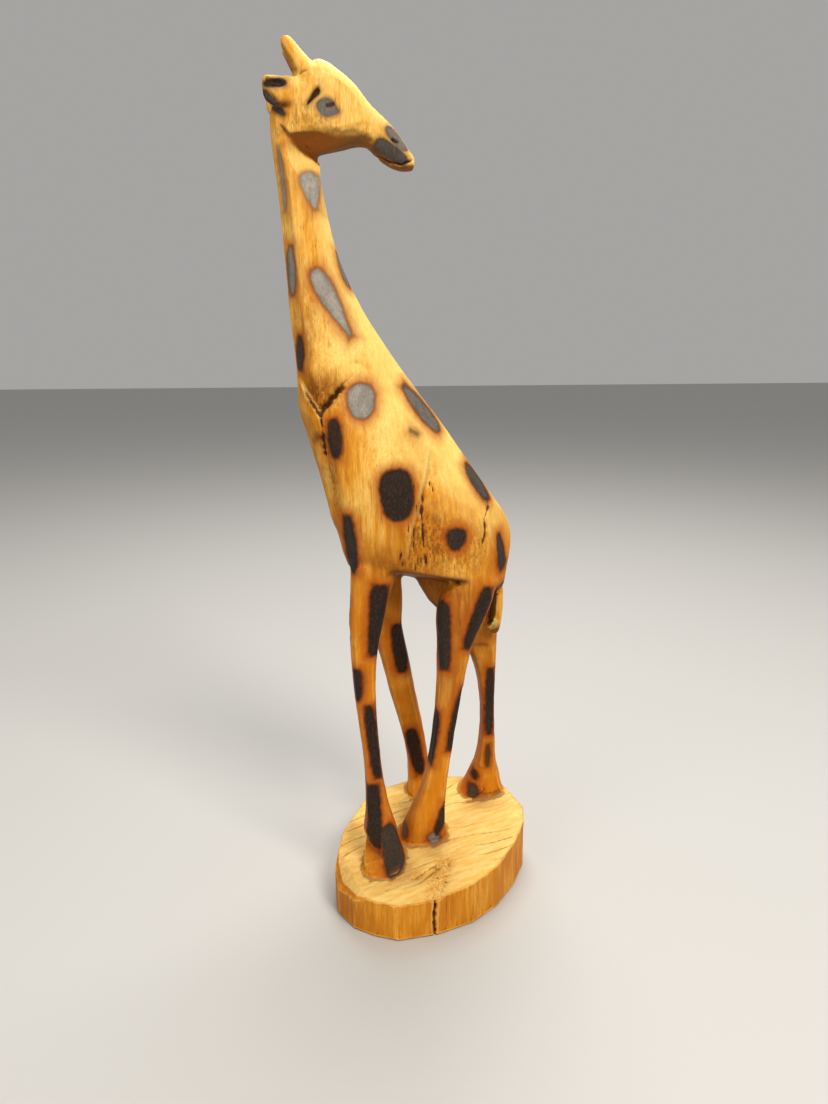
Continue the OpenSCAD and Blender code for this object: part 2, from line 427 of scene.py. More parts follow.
LEG_SPOTS = [
    ((26.6, 19.5, 137.6), 90, 16, 2.9, -6, 0.3, 5, 0, 1),
    ((35.3, 18, 107.5), 62, 7, 2.3, 0, 0, 2.6, 0.1, 1),
    ((29, 22, 80.2), 90, 17, 2.0, 6, 0.1, 3, 0, 1),
    ((29.4, 26.5, 45), 85, 14.5, 2.8, 2, -0.05, 5, 0.1, 1),
    ((20.6, 31.5, 29.5), 110, 11.5, 5.2, 8, -0.4, 3, 0.3, 1),
    ((14.2, -8, 112.5), 90, 13, 2.8, 7, 0, 3, 0, 1),
    ((5.6, -16.5, 52), 90, 13.5, 2.7, 12, 0.1, 3, 0, 1),
    ((-3.4, 16.5, 128), 78, 16, 2.6, 1, 0.1, 3.4, 0.2, 1),
    ((-18.2, 19, 136.5), 95, 15, 2.8, -17, 0.2, 2.6, 0.1, 1),
    ((-10, 14, 86), 112, 16, 2.1, -11, 0.2, 2.6, 0.1, 1),
    ((0.9, 13.5, 76.5), 68, 13.5, 1.9, -8, -0.1, 2.4, 0, 0.95),
    ((-3.1, 15.3, 33), 85, 8.5, 1.7, -18, 0, 2, 0.1, 0.9),
    ((0.4, 17.4, 24.6), 80, 3.2, 2.3, 30, 0, 2.4, 0.75, 0.9),
    ((13.2, 11, 27), 60, 2.4, 2.0, 40, 0, 2, 0.6, 0.8),
    ((-31.3, -12.5, 80), 92, 19, 1.7, 2, 0, 2.6, 0.2, 1),
    ((-31.6, -16, 48.5), 95, 6, 1.3, 0, 0, 2, 0.1, 0.6),
    ((-24.2, -15, 29.2), 85, 3.3, 2.4, 10, -0.3, 2.4, 0.4, 0.9),
    ((-25.2, -17.5, 37.4), 88, 2, 1.3, 0, 0, 2, 0.1, 0.8),
]
# The far side carries the same kind of spots, in other places
FAR_SPOTS = [
    ((53, -8.5, 305), 270, 8, 2.4, -8, 0.4, 2.3, 0.8, 1),
    ((46, -10, 271), 270, 12, 2.9, -22, 0.5, 2.2, 0.7, 1),
    ((28, -14, 240), 270, 7, 4.3, -12, 0, 2.3, 0.7, 1),
    ((50, -14, 233), 300, 7, 2.4, 0, 0, 2.3, 0.3, 1),
    ((38, -20, 212), 272, 6, 4.4, -5, 0.1, 2.5, 0.3, 1),
    ((12, -18, 215), 262, 9, 4.6, -30, -0.1, 2.3, 0.5, 1),
    ((20, -22, 186), 270, 9.5, 6, 0, 0.1, 2.6, 0.2, 1),
    ((-11, -18, 192), 258, 8, 3.6, -24, 0, 2.2, 0.4, 1),
    ((38, -17, 176), 290, 10, 2.4, 0, 0, 2.5, 0.2, 1),
    ((-4, -21, 170), 270, 5, 3.8, 0, 0.2, 2.4, 0.2, 1),
    ((-26, -16, 172), 238, 8, 3.4, 0, 0, 2.3, 0.2, 1),
    ((25, -19.5, 132), 270, 13, 2.9, 4, 0.2, 4, 0, 1),
    ((13.5, -20, 88), 272, 14, 2.2, -12, 0, 3, 0, 1),
    ((3, -29, 44), 275, 11, 2.3, -6, 0, 3, 0.2, 1),
    ((2, -33, 28), 282, 5, 4.2, 0, -0.3, 3, 0.3, 1),
    ((-20, -19.5, 128), 268, 15, 2.8, 8, 0.1, 3, 0, 1),
    ((-30, -19.5, 84), 262, 13, 2.1, 0, 0, 3, 0, 1),
    ((-31, -25.5, 42), 265, 8, 2.4, 0, 0, 2.6, 0.2, 1),
    ((30, 10.5, 88), 272, 15, 2, 6, 0, 3, 0, 1),
    ((-7, 6, 98), 270, 14, 2, -8, 0, 3, 0, 1),
    ((36.6, 10.5, 136), 2, 9, 2.6, 0, 0, 2.6, 0, 1),
    ((30.5, -13, 124), 4, 9, 2.6, 0, 0, 2.6, 0, 1),
    ((-25, 11, 142), 176, 9, 2.8, 0, 0, 2.6, 0, 1),
    ((-33, -12, 128), 178, 10, 2.8, 0, 0, 2.6, 0, 1),
]
# Dark touches on the head, the same on both cheeks
FACE_SPOTS = [
    ((42, 10, 341.5), 90, 4.3, 3.2, -106, -0.3, 1.5, 0.62, 1),
    ((46.6, 10, 345.9), 90, 2.3, 0.85, -42, 0.3, 2, 0.1, 1),
    ((48.9, 10, 343.3), 90, 1.5, 0.35, -45, 0.4, 2, 0, 1),
    ((15.6, 5, 332.2), 80, 5.6, 2.1, 43, 0, 2.2, 0.62, 0.95),
    ((17.6, 4.5, 327.3), 85, 6.9, 2.5, 60, 0.1, 3.4, 0.42, 1),
    ((61.5, 11.2, 349), 90, 4.3, 1.35, 98, -0.1, 2.8, 0.1, 1),
    ((62.4, 10.8, 342.4), 90, 5.4, 1.2, 48, 0.1, 2.8, 0.3, 1),
]
# How far in or out of its middle a spot still burns, how far round it the scorch is worked out, how
# far out the wood takes its greyness and strength, and the distance given where no spot is near
SPOT_THICKNESS = 7
SPOT_MARGIN = 7
HALO = 6
UNBURNT = 9.0


def mirrored(spot):
    """The same spot on the far side."""
    (x, y, z), facing, *shape = spot
    return ((x, -y, z), -facing, *shape)


def scorch(p, n, spots):
    """Distance in mm outside the nearest spot, with the greyness (ash and a painted sheen) and strength of
    that spot.
    """
    burn, ash, char = np.full(len(p), UNBURNT), np.zeros(len(p)), np.zeros(len(p))
    for middle, facing, long, wide, lean, taper, square, grey, strength in spots:
        a, lean = math.radians(facing), math.radians(lean)
        face = np.array([math.cos(a), math.sin(a), 0])
        across = np.array([abs(math.sin(a)), -math.cos(a) * np.sign(math.sin(a) or 1), 0])
        along = np.array([0, 0, math.cos(lean)]) + math.sin(lean) * across
        aside = math.cos(lean) * across - np.array([0, 0, math.sin(lean)])
        d = p - np.asarray(middle, float)
        close = np.where(((d * d).sum(1) < (long + SPOT_MARGIN) ** 2) & (n @ face > -0.1))[0]
        d = d[close]
        u = (d @ along) / long
        width = wide * np.clip(1 + taper * np.clip(u, -1, 1), 0.15, 3)
        v = (d @ aside) / width
        u, v = np.abs(u) + 1e-6, np.abs(v) + 1e-6
        size = (u**square + v**square) ** (1 / square)
        slope = np.hypot((u / size) ** (square - 1) / long, (v / size) ** (square - 1) / width)
        too_wide = np.maximum(v * width - wide * (1 + abs(taper)), 0)
        beyond = np.hypot(np.maximum(u - 1, 0) * long, too_wide)
        outside = np.where(beyond > 0, np.maximum((size - 1) / slope, beyond), (size - 1) / slope)
        outside = np.maximum(outside, np.abs(d @ face) - SPOT_THICKNESS)
        outside = np.maximum(outside, (0.25 - n[close] @ face) * 6)
        closer = outside < burn[close]
        burn[close[closer]] = outside[closer]
        mine = close[closer & (outside < HALO)]
        ash[mine], char[mine] = grey, strength
    return burn, ash, char


# ---- carving

def near_and_far(points):
    """A polyline on the left cheek or flank, and its mirror image on the right."""
    q = np.asarray(points, float)
    return (q, q * (1, -1, 1))


# Cuts, cracks and edges, as points x, y, z, or x, z for those that score_side draws
CHEST_V = [(58, 5, 244), (55.5, 11, 237.2), (50.8, 16.7, 229.6), (48.7, 17.8, 226.2),
           (44.3, 17.9, 232.4), (38, 15.7, 239.4), (33, 13.5, 243)]
CHEST_SLIT = [(54.2, 13.2, 234.6), (52, 15.5, 231.2), (49.4, 17.5, 227)]
SHOULDER_HOLLOW = [(48.3, 227.5), (44.3, 232.2), (41, 235.6), (37.6, 239)]
CHEST_GROOVE = [(48.5, 17.8, 226.4), (47.9, 17.9, 220), (47.4, 17.6, 214), (46.6, 17.2, 208)]
CHEST_RIDGE = [(46.2, 17.5, 210), (43.5, 18, 197), (41, 17.5, 184), (38.2, 16, 168)]
FLANK = [(1.3, 11.5, 216.4), (3.4, 16, 208), (6.6, 20.5, 195.5), (8.8, 21.9, 187.3),
         (11, 22.4, 176.7), (13.6, 21.2, 161)]
FLANK_CRACK = [(6.4, 196), (7.1, 183), (6.4, 172), (4.6, 159.5)]
HAUNCH_CREASE = [(-24, 191.5), (-22.8, 186), (-20.6, 181.6), (-20.8, 176.5), (-19, 169)]
RUMP = [(-23.6, 8, 191), (-21, 12, 186.5), (-19.4, 14.5, 182), (-19, 16, 176)]
BELLY_EDGE = [(14, 157), (4, 155.2), (-4, 154), (-12, 153.4)]
JAW = [(61, 7.5, 336), (59.2, 8.5, 334.3), (56.7, 8.8, 331.5), (54.1, 8.8, 329.2), (51.5, 8.3, 326.9),
       (47.8, 5.5, 325.4)]
EYE = [(49.9, 342.5), (48.3, 344.5), (46.7, 346.4), (45.1, 348.4)]
PUPIL = [(43, 342.2), (41, 342.6), (39.2, 343.4)]
NOSTRIL = [(17.6, 332.2), (16.2, 331.3), (14.6, 331)]
MOUTH = [(24, 326.6), (18.6, 323.8), (13.6, 322.9), (8.4, 325)]
EAR_HOLLOW = [(65.4, 12.2, 350), (61.5, 12, 349.4), (58.6, 11.2, 348.8)]
EAR_FOLD = [(65.5, 12, 346.6), (62.4, 11.6, 344), (59.5, 10, 341)]
HORN_CRACK = [(52.5, 8.1, 352.6), (50.9, 9.2, 353.5), (49.1, 9.4, 354.2)]
SLAB_SIDE_CRACK = [(3.8, -8), (4.7, 9), (4.2, 24)]
SLAB_CRACK = [(4.6, 53, 20), (3, 47, 20.6), (1, 41, 21)]
TORN = [(-3, 31, 22), (1, 40, 21), (5, 54, 20)]
RIDGE_CRACK = [(15, 40.5, 20.2), (9.3, 36.6, 20.7), (4.2, 32.8, 21.3), (-0.5, 30, 21.7)]
LEDGE = [(-11, -12.5, 25.2), (-22, -13.8, 25.8), (-33, -15, 26.4), (-45, -18, 27)]

# Lines of the face and of the ears and horns: width, depth and darkness
FACE_LINES = ((EYE, 0.75, 1.0, 0.9), (PUPIL, 1.5, 0.4, 0.9), (NOSTRIL, 0.9, 1.1, 1), (MOUTH, 0.65, 0.8, 0.95))
EAR_LINES = ((EAR_HOLLOW, 1.6, 1.3, 0.4), (EAR_FOLD, 1.0, 0.6, 0.3), (HORN_CRACK, 0.45, 0.4, 0.5))

# Flat cuts of the hooves: a point of the plane, the way it faces, the middle of its reach, and its reach
HOOF_CUTS = (
    ((22.5, 27.8, 39), (-0.66, 0.7, 0.27), (19, 31, 29), 15),
    ((31.6, 27.6, 40), (0.5, 0.83, 0.24), (31, 28, 38), 18),
    ((-3.6, 15, 32), (-0.75, 0.62, 0.2), (-5, 14, 30), 11),
    ((-24, -16.5, 36), (0.3, 0.9, 0.32), (-24, -16, 32), 12),
)
# Long cuts down the neck and the body, as shave takes them: azimuths, depth and span of heights
NECK_CUTS = (
    ((88, 96), 0.6, (236, 334)),
    ((40, 42), 0.8, (226, 337)),
    ((272, 266), 0.5, (226, 332)),
    ((-40, -40), 0.7, (226, 337)),
    ((152, 152), 0.5, (236, 328)),
    ((208, 208), 0.4, (236, 328)),
)
BODY_CUTS = (
    ((30, 40), 1.3, (158, 224)),
    ((-32, -28), 1.0, (158, 224)),
)
# The same for each leg
LEG_CUTS = (
    *(((azimuth, azimuth), 0.8, (27, 143)) for azimuth in (90, 268, 4, 176)),
    ((48, 44), 0.3, (32, 140)),
    ((134, 138), 0.3, (32, 140)),
)
# The way the knife went over the slab's top, from +X
STROKES = math.radians(21)


def stroke_top(p, dark, top, torn):
    """Knife strokes side by side on the slab's top, each a long flat with a short step beside it."""
    along = p[:, 0] * math.cos(STROKES) + p[:, 1] * math.sin(STROKES)
    across = p[:, 1] * math.cos(STROKES) - p[:, 0] * math.sin(STROKES)
    strokes = np.stack([along, across, np.zeros(len(p))], 1)
    lane = across / 7 + 0.9 * noise(strokes, (32, 24, 9)) + 0.25 * noise(strokes, (13, 11, 9))
    cut = lane - np.floor(lane)
    deep = np.clip(0.55 + 0.9 * noise(strokes, (21, 15, 9), SEED + 6), 0.08, 1)
    step = 0.5 - np.where(cut < 0.8, cut / 0.8, 1 - ramp((cut - 0.8) / 0.2))
    relief = 0.35 * noise(strokes, (24, 8, 9), SEED + 1) + 0.75 * deep * step - 0.5
    relief = relief + 0.16 * noise(strokes, (12, 1.8, 9), SEED + 1) + 0.1 * noise(p, 1.4, SEED + 3)
    edge = ramp(1 - np.abs(cut - 0.86) * 7 / 0.7) * ramp((deep - 0.55) * 3)
    relief = relief + torn * (0.45 * noise(p, 1.6, SEED + 2) - 0.25)
    p[:, 2] += relief * top
    # painted shade along the step of each knife stroke
    dark[:] = np.maximum(dark, 0.5 * edge * top * (1 - torn))


def carve_slab(p, n, dark):
    """Strokes, steps, flat cuts and cracks of the slab. Returns what is its top and what is torn."""
    above = p[:, 2] - plane_z(SLAB_TOP, p)
    top = ramp((n[:, 2] - 0.75) / 0.15) * ramp((1.9 - above) / 1.2)
    torn = ramp(1.5 - beside(p, TORN)[0] / 4.5) * (above > -2)
    stroke_top(p, dark, top, torn)
    undercut(p, n, LEDGE, (0.1, 1, 0), 14, 1.1)
    undercut(p, n, RIDGE_CRACK, (0.5, 0.86, 0), 7, 0.8)
    slice_off(p, (39.2, 32, 19.3), (0.55, 0.24, 0.8), (41, 32, 18), 22)
    slice_off(p, (13, 46, 19.6), (0, 0.22, 0.97), (13, 50, 19), 15)
    rim = ramp((0.5 - n[:, 2]) / 0.3) * (above < 1.5) * (p[:, 2] > 1)
    chips = 0.3 * noise(p, (1.2, 1.2, 14), SEED + 4) + 0.3 * noise(p, (4, 4, 22), SEED + 7)
    p -= (rim * (0.3 + chips))[:, None] * n
    front = (p[:, 1] > 40) & (n[:, 2] < 0.6)
    score_side(p, n, dark, SLAB_SIDE_CRACK, 1.0, 1.4, 0.45, 1, front)
    score(p, n, dark, SLAB_CRACK, 0.8, 1.2, 0.25, 1)
    score(p, n, dark, RIDGE_CRACK, 0.7, 0.5, 0.5, 0.7)
    return top, torn


def carve_feet(p):
    """The hooves are wedges: flat cuts that meet in a ridge at the toe."""
    clear = ramp((p[:, 2] - plane_z(SLAB_TOP, p) - 0.8) / 1.5)
    for point, face, near, reach in HOOF_CUTS:
        slice_off(p, point, face, near, reach, clear)


def carve_body(p, n, dark):
    """The rump's flat cuts, then the V of the chest, the edges of the body, and its cracks."""
    for y in (1, -1):
        slice_off(p, (-26.5, 18 * y, 163), (-0.76, 0.6 * y, 0.24), (-28, 12 * y, 172), 26)
    undercut(p, n, CHEST_V, (0, 0, 1), 9, 3.0)
    near = (p[:, 1] > 5) & (n[:, 1] > 0)
    score_side(p, n, dark, CHEST_V[1:6], 1.1, 0.6, 0.35, 0.95, near)
    inside = ramp(1.3 - gap_from(p, (49, 15, 235), (8, 8, 7)))
    crumbs = 0.22 * noise(p, (1.6, 1.6, 3), SEED + 9) + 0.12 * noise(p, 0.8, SEED + 9)
    p += (inside * crumbs)[:, None] * n
    score(p, n, dark, CHEST_SLIT, 0.75, 0.9, 0.3, 0.9)
    score_side(p, n, dark, SHOULDER_HOLLOW, 2.0, 0.9, 0.5, 0.9, near)
    score_side(p, n, dark, CHEST_GROOVE, 1.0, 1.0, 0.5, 1, near)
    score_side(p, n, dark, BELLY_EDGE, 2.4, 1.2, 0.6, 0.9, near & (p[:, 2] < plane_z(BELLY, p)))
    undercut(p, n, CHEST_RIDGE, (1, -0.2, 0), 5, 0.9)
    score(p, n, dark, CHEST_RIDGE, 0.7, 0.2, 0.5, 0.5)
    undercut(p, n, FLANK, (-1, 0, -0.2), 8, 1.3)
    score(p, n, dark, FLANK, 0.7, 0.4, 0.5, 0.7)
    fissures(p, n, dark, FLANK[2:], 20, 5.5, 8, SEED)
    fissures(p, n, dark, RUMP, 7, 1.6, 3, SEED + 1)
    score_side(p, n, dark, FLANK_CRACK, 0.8, 0.7, 0.4, 0.9, near)
    coarse = ramp(1.3 - gap_from(p, (5, 21, 176), (9, 8, 17)))
    p += (0.16 * coarse * noise(p, (1.1, 1.1, 4), SEED + 10))[:, None] * n
    # painted shade in the hollow between the rear thighs and the tail
    behind_legs = gap_from(p, (-28.3, 1, 142), (1.9, 4.5, 15))
    dark[:] = np.maximum(dark, 0.9 * ramp((1.25 - behind_legs) * 3))
    score_side(p, n, dark, HAUNCH_CREASE, 1.1, 0.5, 0.4, 0.8, near)


def carve_head(p, n, dark):
    """The ears' lobes, the jaw, the flat cheeks, and the lines of face, ears and horns."""
    lobe = (p[:, 0] > 58) & (np.abs(p[:, 1]) > 9) & (p[:, 2] > 340) & (p[:, 2] < 348.5)
    drop = 2.4 * ramp((348.5 - p[:, 2]) / 4) * ramp((p[:, 0] - 58) / 3)
    p[:, 2] -= drop * ramp(np.abs(p[:, 1]) - 9) * lobe
    for y, jaw in zip((1, -1), near_and_far(JAW)):
        undercut(p, n, jaw, (0.55, 0, -0.83), 7, 1.5)
        score(p, n, dark, jaw, 0.8, 0.4, 0.3, 0.65)
        slice_off(p, (45, 9.7 * y, 342), (-0.17, 0.98 * y, 0.05), (36, 8 * y, 341), 15)
        slice_off(p, (40, 9.3 * y, 333.4), (0, 0.72 * y, -0.69), (42, 9 * y, 330), 17)
    for line, width, depth, darkness in FACE_LINES:
        score_side(p, n, dark, line, width, depth, 0.15, darkness)
    for line, width, depth, darkness in EAR_LINES:
        for q in near_and_far(line):
            score(p, n, dark, q, width, depth, 0.15, darkness)


# Pitted, grubby places: their middle, their reach along each axis, and how strong they are
PITTED = [
    ((3, 21, 174), (12, 9, 15), 0.85),
    ((14, 21, 161), (14, 8, 6), 0.6),
    ((-8, 20, 170), (18, 9, 14), 0.5),
    ((49, 15, 235), (8, 8, 7), 1),
    ((53, 9, 258), (6, 8, 20), 0.25),
    ((48, 9, 337), (12, 6, 6), 0.4),
    ((44, 17, 196), (3, 5, 26), 0.6),
]
# Places darkened in the same way: smoke stains round the spots and on the slab, and painted shade under the
# jaw and the belly, at the tops of the legs, on the chest's front and in its V
SMOKE = [
    ((53, 9, 258), (6, 8, 24), 0.4),
    ((44.5, 17, 192), (2.5, 5, 22), 0.5),
    ((-2, 15, 148), (11, 6, 4.5), 1),
    ((16, 22, 178), (7, 7, 9), 0.55),
    ((17.6, 22, 193.7), (10, 7, 13), 0.45),
    ((-7.7, 21, 173.7), (8, 7, 8), 0.5),
    ((3, 22, 176), (6, 7, 18), 0.4),
    ((48, 14, 236), (9, 9, 9), 0.85),
    ((46, 8, 329.5), (14, 6, 5), 0.95),
    ((48.5, 9, 320), (3.5, 5, 6), 0.8),
    ((57, 5, 208), (10, 14, 28), 0.45),
    ((17, 22, 163), (24, 8, 14), 0.6),
    ((-20, 18, 164), (9, 8, 16), 0.35),
    ((-11, 19, 142), (9, 6, 16), 0.95),
    ((-6, 18, 108), (8, 6, 26), 0.7),
    ((26, 20, 134), (8, 6, 22), 0.4),
    ((29, 22, 62), (7, 6, 12), 0.4),
    ((0, 2, 145), (28, 11, 13), 0.85),
    ((-27, -12, 146), (10, 10, 18), 0.6),
    ((14, 40, 21), (10, 5, 3), 0.3),
    ((22, 30, 22), (12, 8, 3.5), 0.5),
    ((-2, 16, 24), (9, 6, 3.5), 0.4),
    ((45, 30, 8), (16, 24, 14), 0.55),
]


def strongest(p, places):
    """The strongest of the places at each vertex."""
    total = np.zeros(len(p))
    for middle, reach, amount in places:
        total = np.maximum(total, amount * ramp(1.35 - gap_from(p, middle, reach)))
    return total


def needs_detail(middles):
    """The head and the chest's fine cuts are made of smaller faces."""
    head = middles[:, 2] > NECK_TOP_Z
    return head | (beside(middles, CHEST_V)[0] < 5) | (beside(middles, CHEST_GROOVE)[0] < 3)


def whittle(mesh, p):
    """Long flat cuts down the legs, neck and body, then shallow strokes all over them."""
    n = normals(mesh, p)
    on_leg = (p[:, 2] > plane_z(SLAB_TOP, p) + 1) & (p[:, 2] < plane_z(BELLY, p))
    leg_of = nearest_leg(p)
    plump = ramp((p[:, 2] - 28) / 10) * ramp((150 - p[:, 2]) / 12)
    p += (0.45 * plump * on_leg)[:, None] * n
    for k in range(len(LEGS)):
        for azimuths, depth, span in LEG_CUTS:
            shave(p, on_leg & (leg_of == k), azimuths, depth, span)
    body = p[:, 2] > BODY_Z
    neck = body & (p[:, 2] < 338) & (p[:, 0] > 34)
    for part, cuts in ((neck, NECK_CUTS), (body, BODY_CUTS)):
        for azimuths, depth, span in cuts:
            shave(p, part, azimuths, depth, span)
    n = normals(mesh, p)
    gouge(p, n, body & (p[:, 2] < NECK_TOP_Z), 900, 5.5, 0.1, SEED)
    gouge(p, n, on_leg, 700, 4.0, 0.1, SEED + 1)
    gouge(p, n, p[:, 2] > HEAD_Z + 4, 220, 2.6, 0.08, SEED + 2)
    carve_feet(p)


def burn_spots(p, n, top):
    """The hot iron burns the spots and presses them in. Returns their fields."""
    face = FACE_SPOTS + [mirrored(s) for s in FACE_SPOTS]
    burn, ash, char = scorch(p, n, NECK_SPOTS + BODY_SPOTS + LEG_SPOTS + FAR_SPOTS + face)
    char = char * (1 - 0.75 * top)
    glow = np.interp(p[:, 2], [120, 180, 300, 325], [1, 0.9, 0.7, 0.2])
    pressed = ramp(0.5 - burn / 0.9) * char
    p -= (0.22 * pressed)[:, None] * n
    return {"burn": burn, "ash": ash, "char": char, "glow": glow}


def chip_tail(p, n):
    """A chip is torn out at the top of the tail. Returns how freshly broken each vertex is."""
    chip = ramp(1.4 - gap_from(p, (-28, 0.5, 127), (3.6, 4, 3.2)))
    splinter = np.outer(chip * (0.4 + noise(p, 1.2, SEED + 8)), (2.2, 1.5, 0))
    p += splinter + (0.8 * chip * noise(p, 0.9))[:, None] * n
    return np.clip(1.6 * chip, 0, 1)


def carve():
    """The whole carving: its mesh, and the names of the fields on it."""
    mesh = melt()
    p = ease(mesh)
    write(mesh, p)
    refine(mesh, needs_detail)
    p = read(mesh)
    whittle(mesh, p)
    n = normals(mesh, p)
    dark = np.zeros(len(p))
    top, torn = carve_slab(p, n, dark)
    carve_body(p, n, dark)
    carve_head(p, n, dark)
    p = smoothed(mesh, p, np.where(p[:, 2] > ON_LEGS_Z, 2.0, 0.0))
    n = normals(mesh, p)
    fields = burn_spots(p, n, top)
    fibres = 0.05 * noise(p, (0.9, 0.9, 7), SEED + 5)
    p -= fibres[:, None] * n * (p[:, 2] > ON_LEGS_Z)[:, None]
    n = normals(mesh, p)
    fresh = np.maximum(top * 0.9, chip_tail(p, n))
    # hollow is positive in hollows and negative on edges: hollows are painted darker, as shade with grime,
    # and edges paler, as wear
    hollow = ((smoothed(mesh, p, np.full(len(p), 14.0)) - p) * n).sum(1)
    # painted shade: faces that turn downwards are darkened, softened over the legs and body
    under = ramp((-n[:, 2] - 0.02) / 0.6)
    soften = np.where(p[:, 2] > ON_LEGS_Z, 6.0, 0.0)
    under = smoothed(mesh, np.repeat(under[:, None], 3, 1), soften)[:, 0]
    # painted highlight: faces turned up and back towards the light are paler, above the belly
    bleached = ramp((n @ unit((-0.7, 0.3, 0.6)) - 0.35) / 0.5) * ramp((p[:, 2] - 160) / 40)
    fields.update(crease=dark, fresh=fresh, torn=torn, worn=np.clip(hollow / 0.3, -1, 1), under=under,
                  bleached=bleached, pitted=strongest(p, PITTED), smoke=strongest(p, SMOKE))
    fields.update(zip(NORMAL_FIELDS, n.T))
    write(mesh, p)
    for name, values in fields.items():
        add_field(mesh, name, values)
    return mesh, tuple(fields)


# ---- wood

class Wood:
    """Builds one wood material. Textures are in mm of the object's own space."""

    def __init__(self, name):
        self.material = bpy.data.materials.new(name)
        self.material.use_nodes = True
        self.nodes = self.material.node_tree.nodes
        self.links = self.material.node_tree.links
        self.shader = self.nodes["Principled BSDF"]
        self.mm = self.stretch(self.add("TexCoord", {}).outputs["Object"], (1 / MM,) * 3)

    def put(self, socket, value):
        """A socket takes a link or a fixed value."""
        if isinstance(value, bpy.types.NodeSocket):
            self.links.new(value, socket)
        else:
            socket.default_value = value

    def add(self, kind, inputs, **settings):
        """A new node, with its inputs and settings."""
        node = self.nodes.new("ShaderNode" + kind)
        for key, value in settings.items():
            setattr(node, key, value)
        for key, value in inputs.items():
            self.put(node.inputs[key], value)
        return node

    def stretch(self, vector, scale):
        return self.add("Mapping", {"Vector": vector, "Scale": scale}).outputs["Vector"]

    def turn(self, vector, angle):
        return self.add("Mapping", {"Vector": vector, "Rotation": (0, 0, angle)}).outputs["Vector"]

    def sway(self, vector, size, amount):
        """The same coordinates, pushed about by slow noise, so that the grain isn't straight."""
        push = self.add("TexNoise", {"Vector": vector, "Scale": 1 / size, "Detail": 1}).outputs["Color"]
        inputs = {0: push, 1: (amount,) * 3, 2: vector}
        return self.add("VectorMath", inputs, operation="MULTIPLY_ADD").outputs["Vector"]

    def grain(self, vector, size, detail=3.0, rough=0.55):
        """Noise from 0 to 1 with lumps of a size in mm."""
        inputs = {"Vector": vector, "Scale": 1 / size, "Detail": detail, "Roughness": rough}
        return self.add("TexNoise", inputs).outputs["Fac"]

    def math(self, operation, a, b):
        return self.add("Math", {0: a, 1: b}, operation=operation).outputs["Value"]

    def times(self, a, b):
        return self.math("MULTIPLY", a, b)

    def fit(self, value, low, high, to_low=0.0, to_high=1.0):
        """A smooth change from to_low to to_high while the value goes from low to high."""
        inputs = {"Value": value, "From Min": low, "From Max": high, "To Min": to_low, "To Max": to_high}
        return self.add("MapRange", inputs, interpolation_type="SMOOTHSTEP").outputs["Result"]

    def mix(self, share, a, b):
        """The colour a, with a share of the colour b over it."""
        node = self.add("Mix", {"Factor": share}, data_type="RGBA")
        for key, value in (("A", a), ("B", b)):
            socket = next(s for s in node.inputs if s.name == key and s.type == "RGBA")
            self.put(socket, value if isinstance(value, bpy.types.NodeSocket) else (*value, 1))
        return next(s for s in node.outputs if s.type == "RGBA")

    def field(self, name):
        return self.add("Attribute", {}, attribute_name=name).outputs["Fac"]

    def height(self):
        return self.add("SeparateXYZ", {0: self.mm}).outputs["Z"]

    def bump(self, height, distance, strength, before=None):
        """A relief of a distance in mm, on top of the one before."""
        inputs = {"Height": height, "Distance": distance * MM, "Strength": strength}
        if before is not None:
            inputs["Normal"] = before
        return self.add("Bump", inputs).outputs["Normal"]


# Colours of the bare wood, from the palest to the darkest. The second is a painted highlight, the smoke brown
# is partly painted shade, and the last two are painted shade, the very last also the char of burnt lines
PALE = (0.86, 0.56, 0.14)
# colour of the painted highlight
BLEACHED = (0.92, 0.70, 0.22)
HONEY = (0.70, 0.305, 0.025)
ORANGE = (0.60, 0.19, 0.004)
AMBER = (0.52, 0.18, 0.010)
GRIME = (0.36, 0.115, 0.010)
# smoke brown, also the colour of painted shade
SMOKED = (0.27, 0.075, 0.006)
PITS = (0.17, 0.055, 0.007)
UMBER = (0.12, 0.034, 0.005)
SHADE = (0.09, 0.027, 0.006)
# painted shade in crevices, and the char of burnt lines
CREVICE = (0.045, 0.014, 0.004)
# Colours of fresh cuts
CUT = (0.88, 0.66, 0.24)
CUT_GRAIN = (0.80, 0.49, 0.11)
CUT_STAIN = (0.62, 0.29, 0.04)
# Colours of the scorch, from its halo to its middle
EMBER = (0.36, 0.075, 0.005)
SINGED = (0.060, 0.016, 0.005)
SINGED_BY_ASH = (0.22, 0.058, 0.014)
CHARRED = (0.055, 0.028, 0.018)
SOOT = (0.017, 0.011, 0.008)
# grey of ash, and of a painted sheen on the char
ASH = (0.42, 0.385, 0.335)


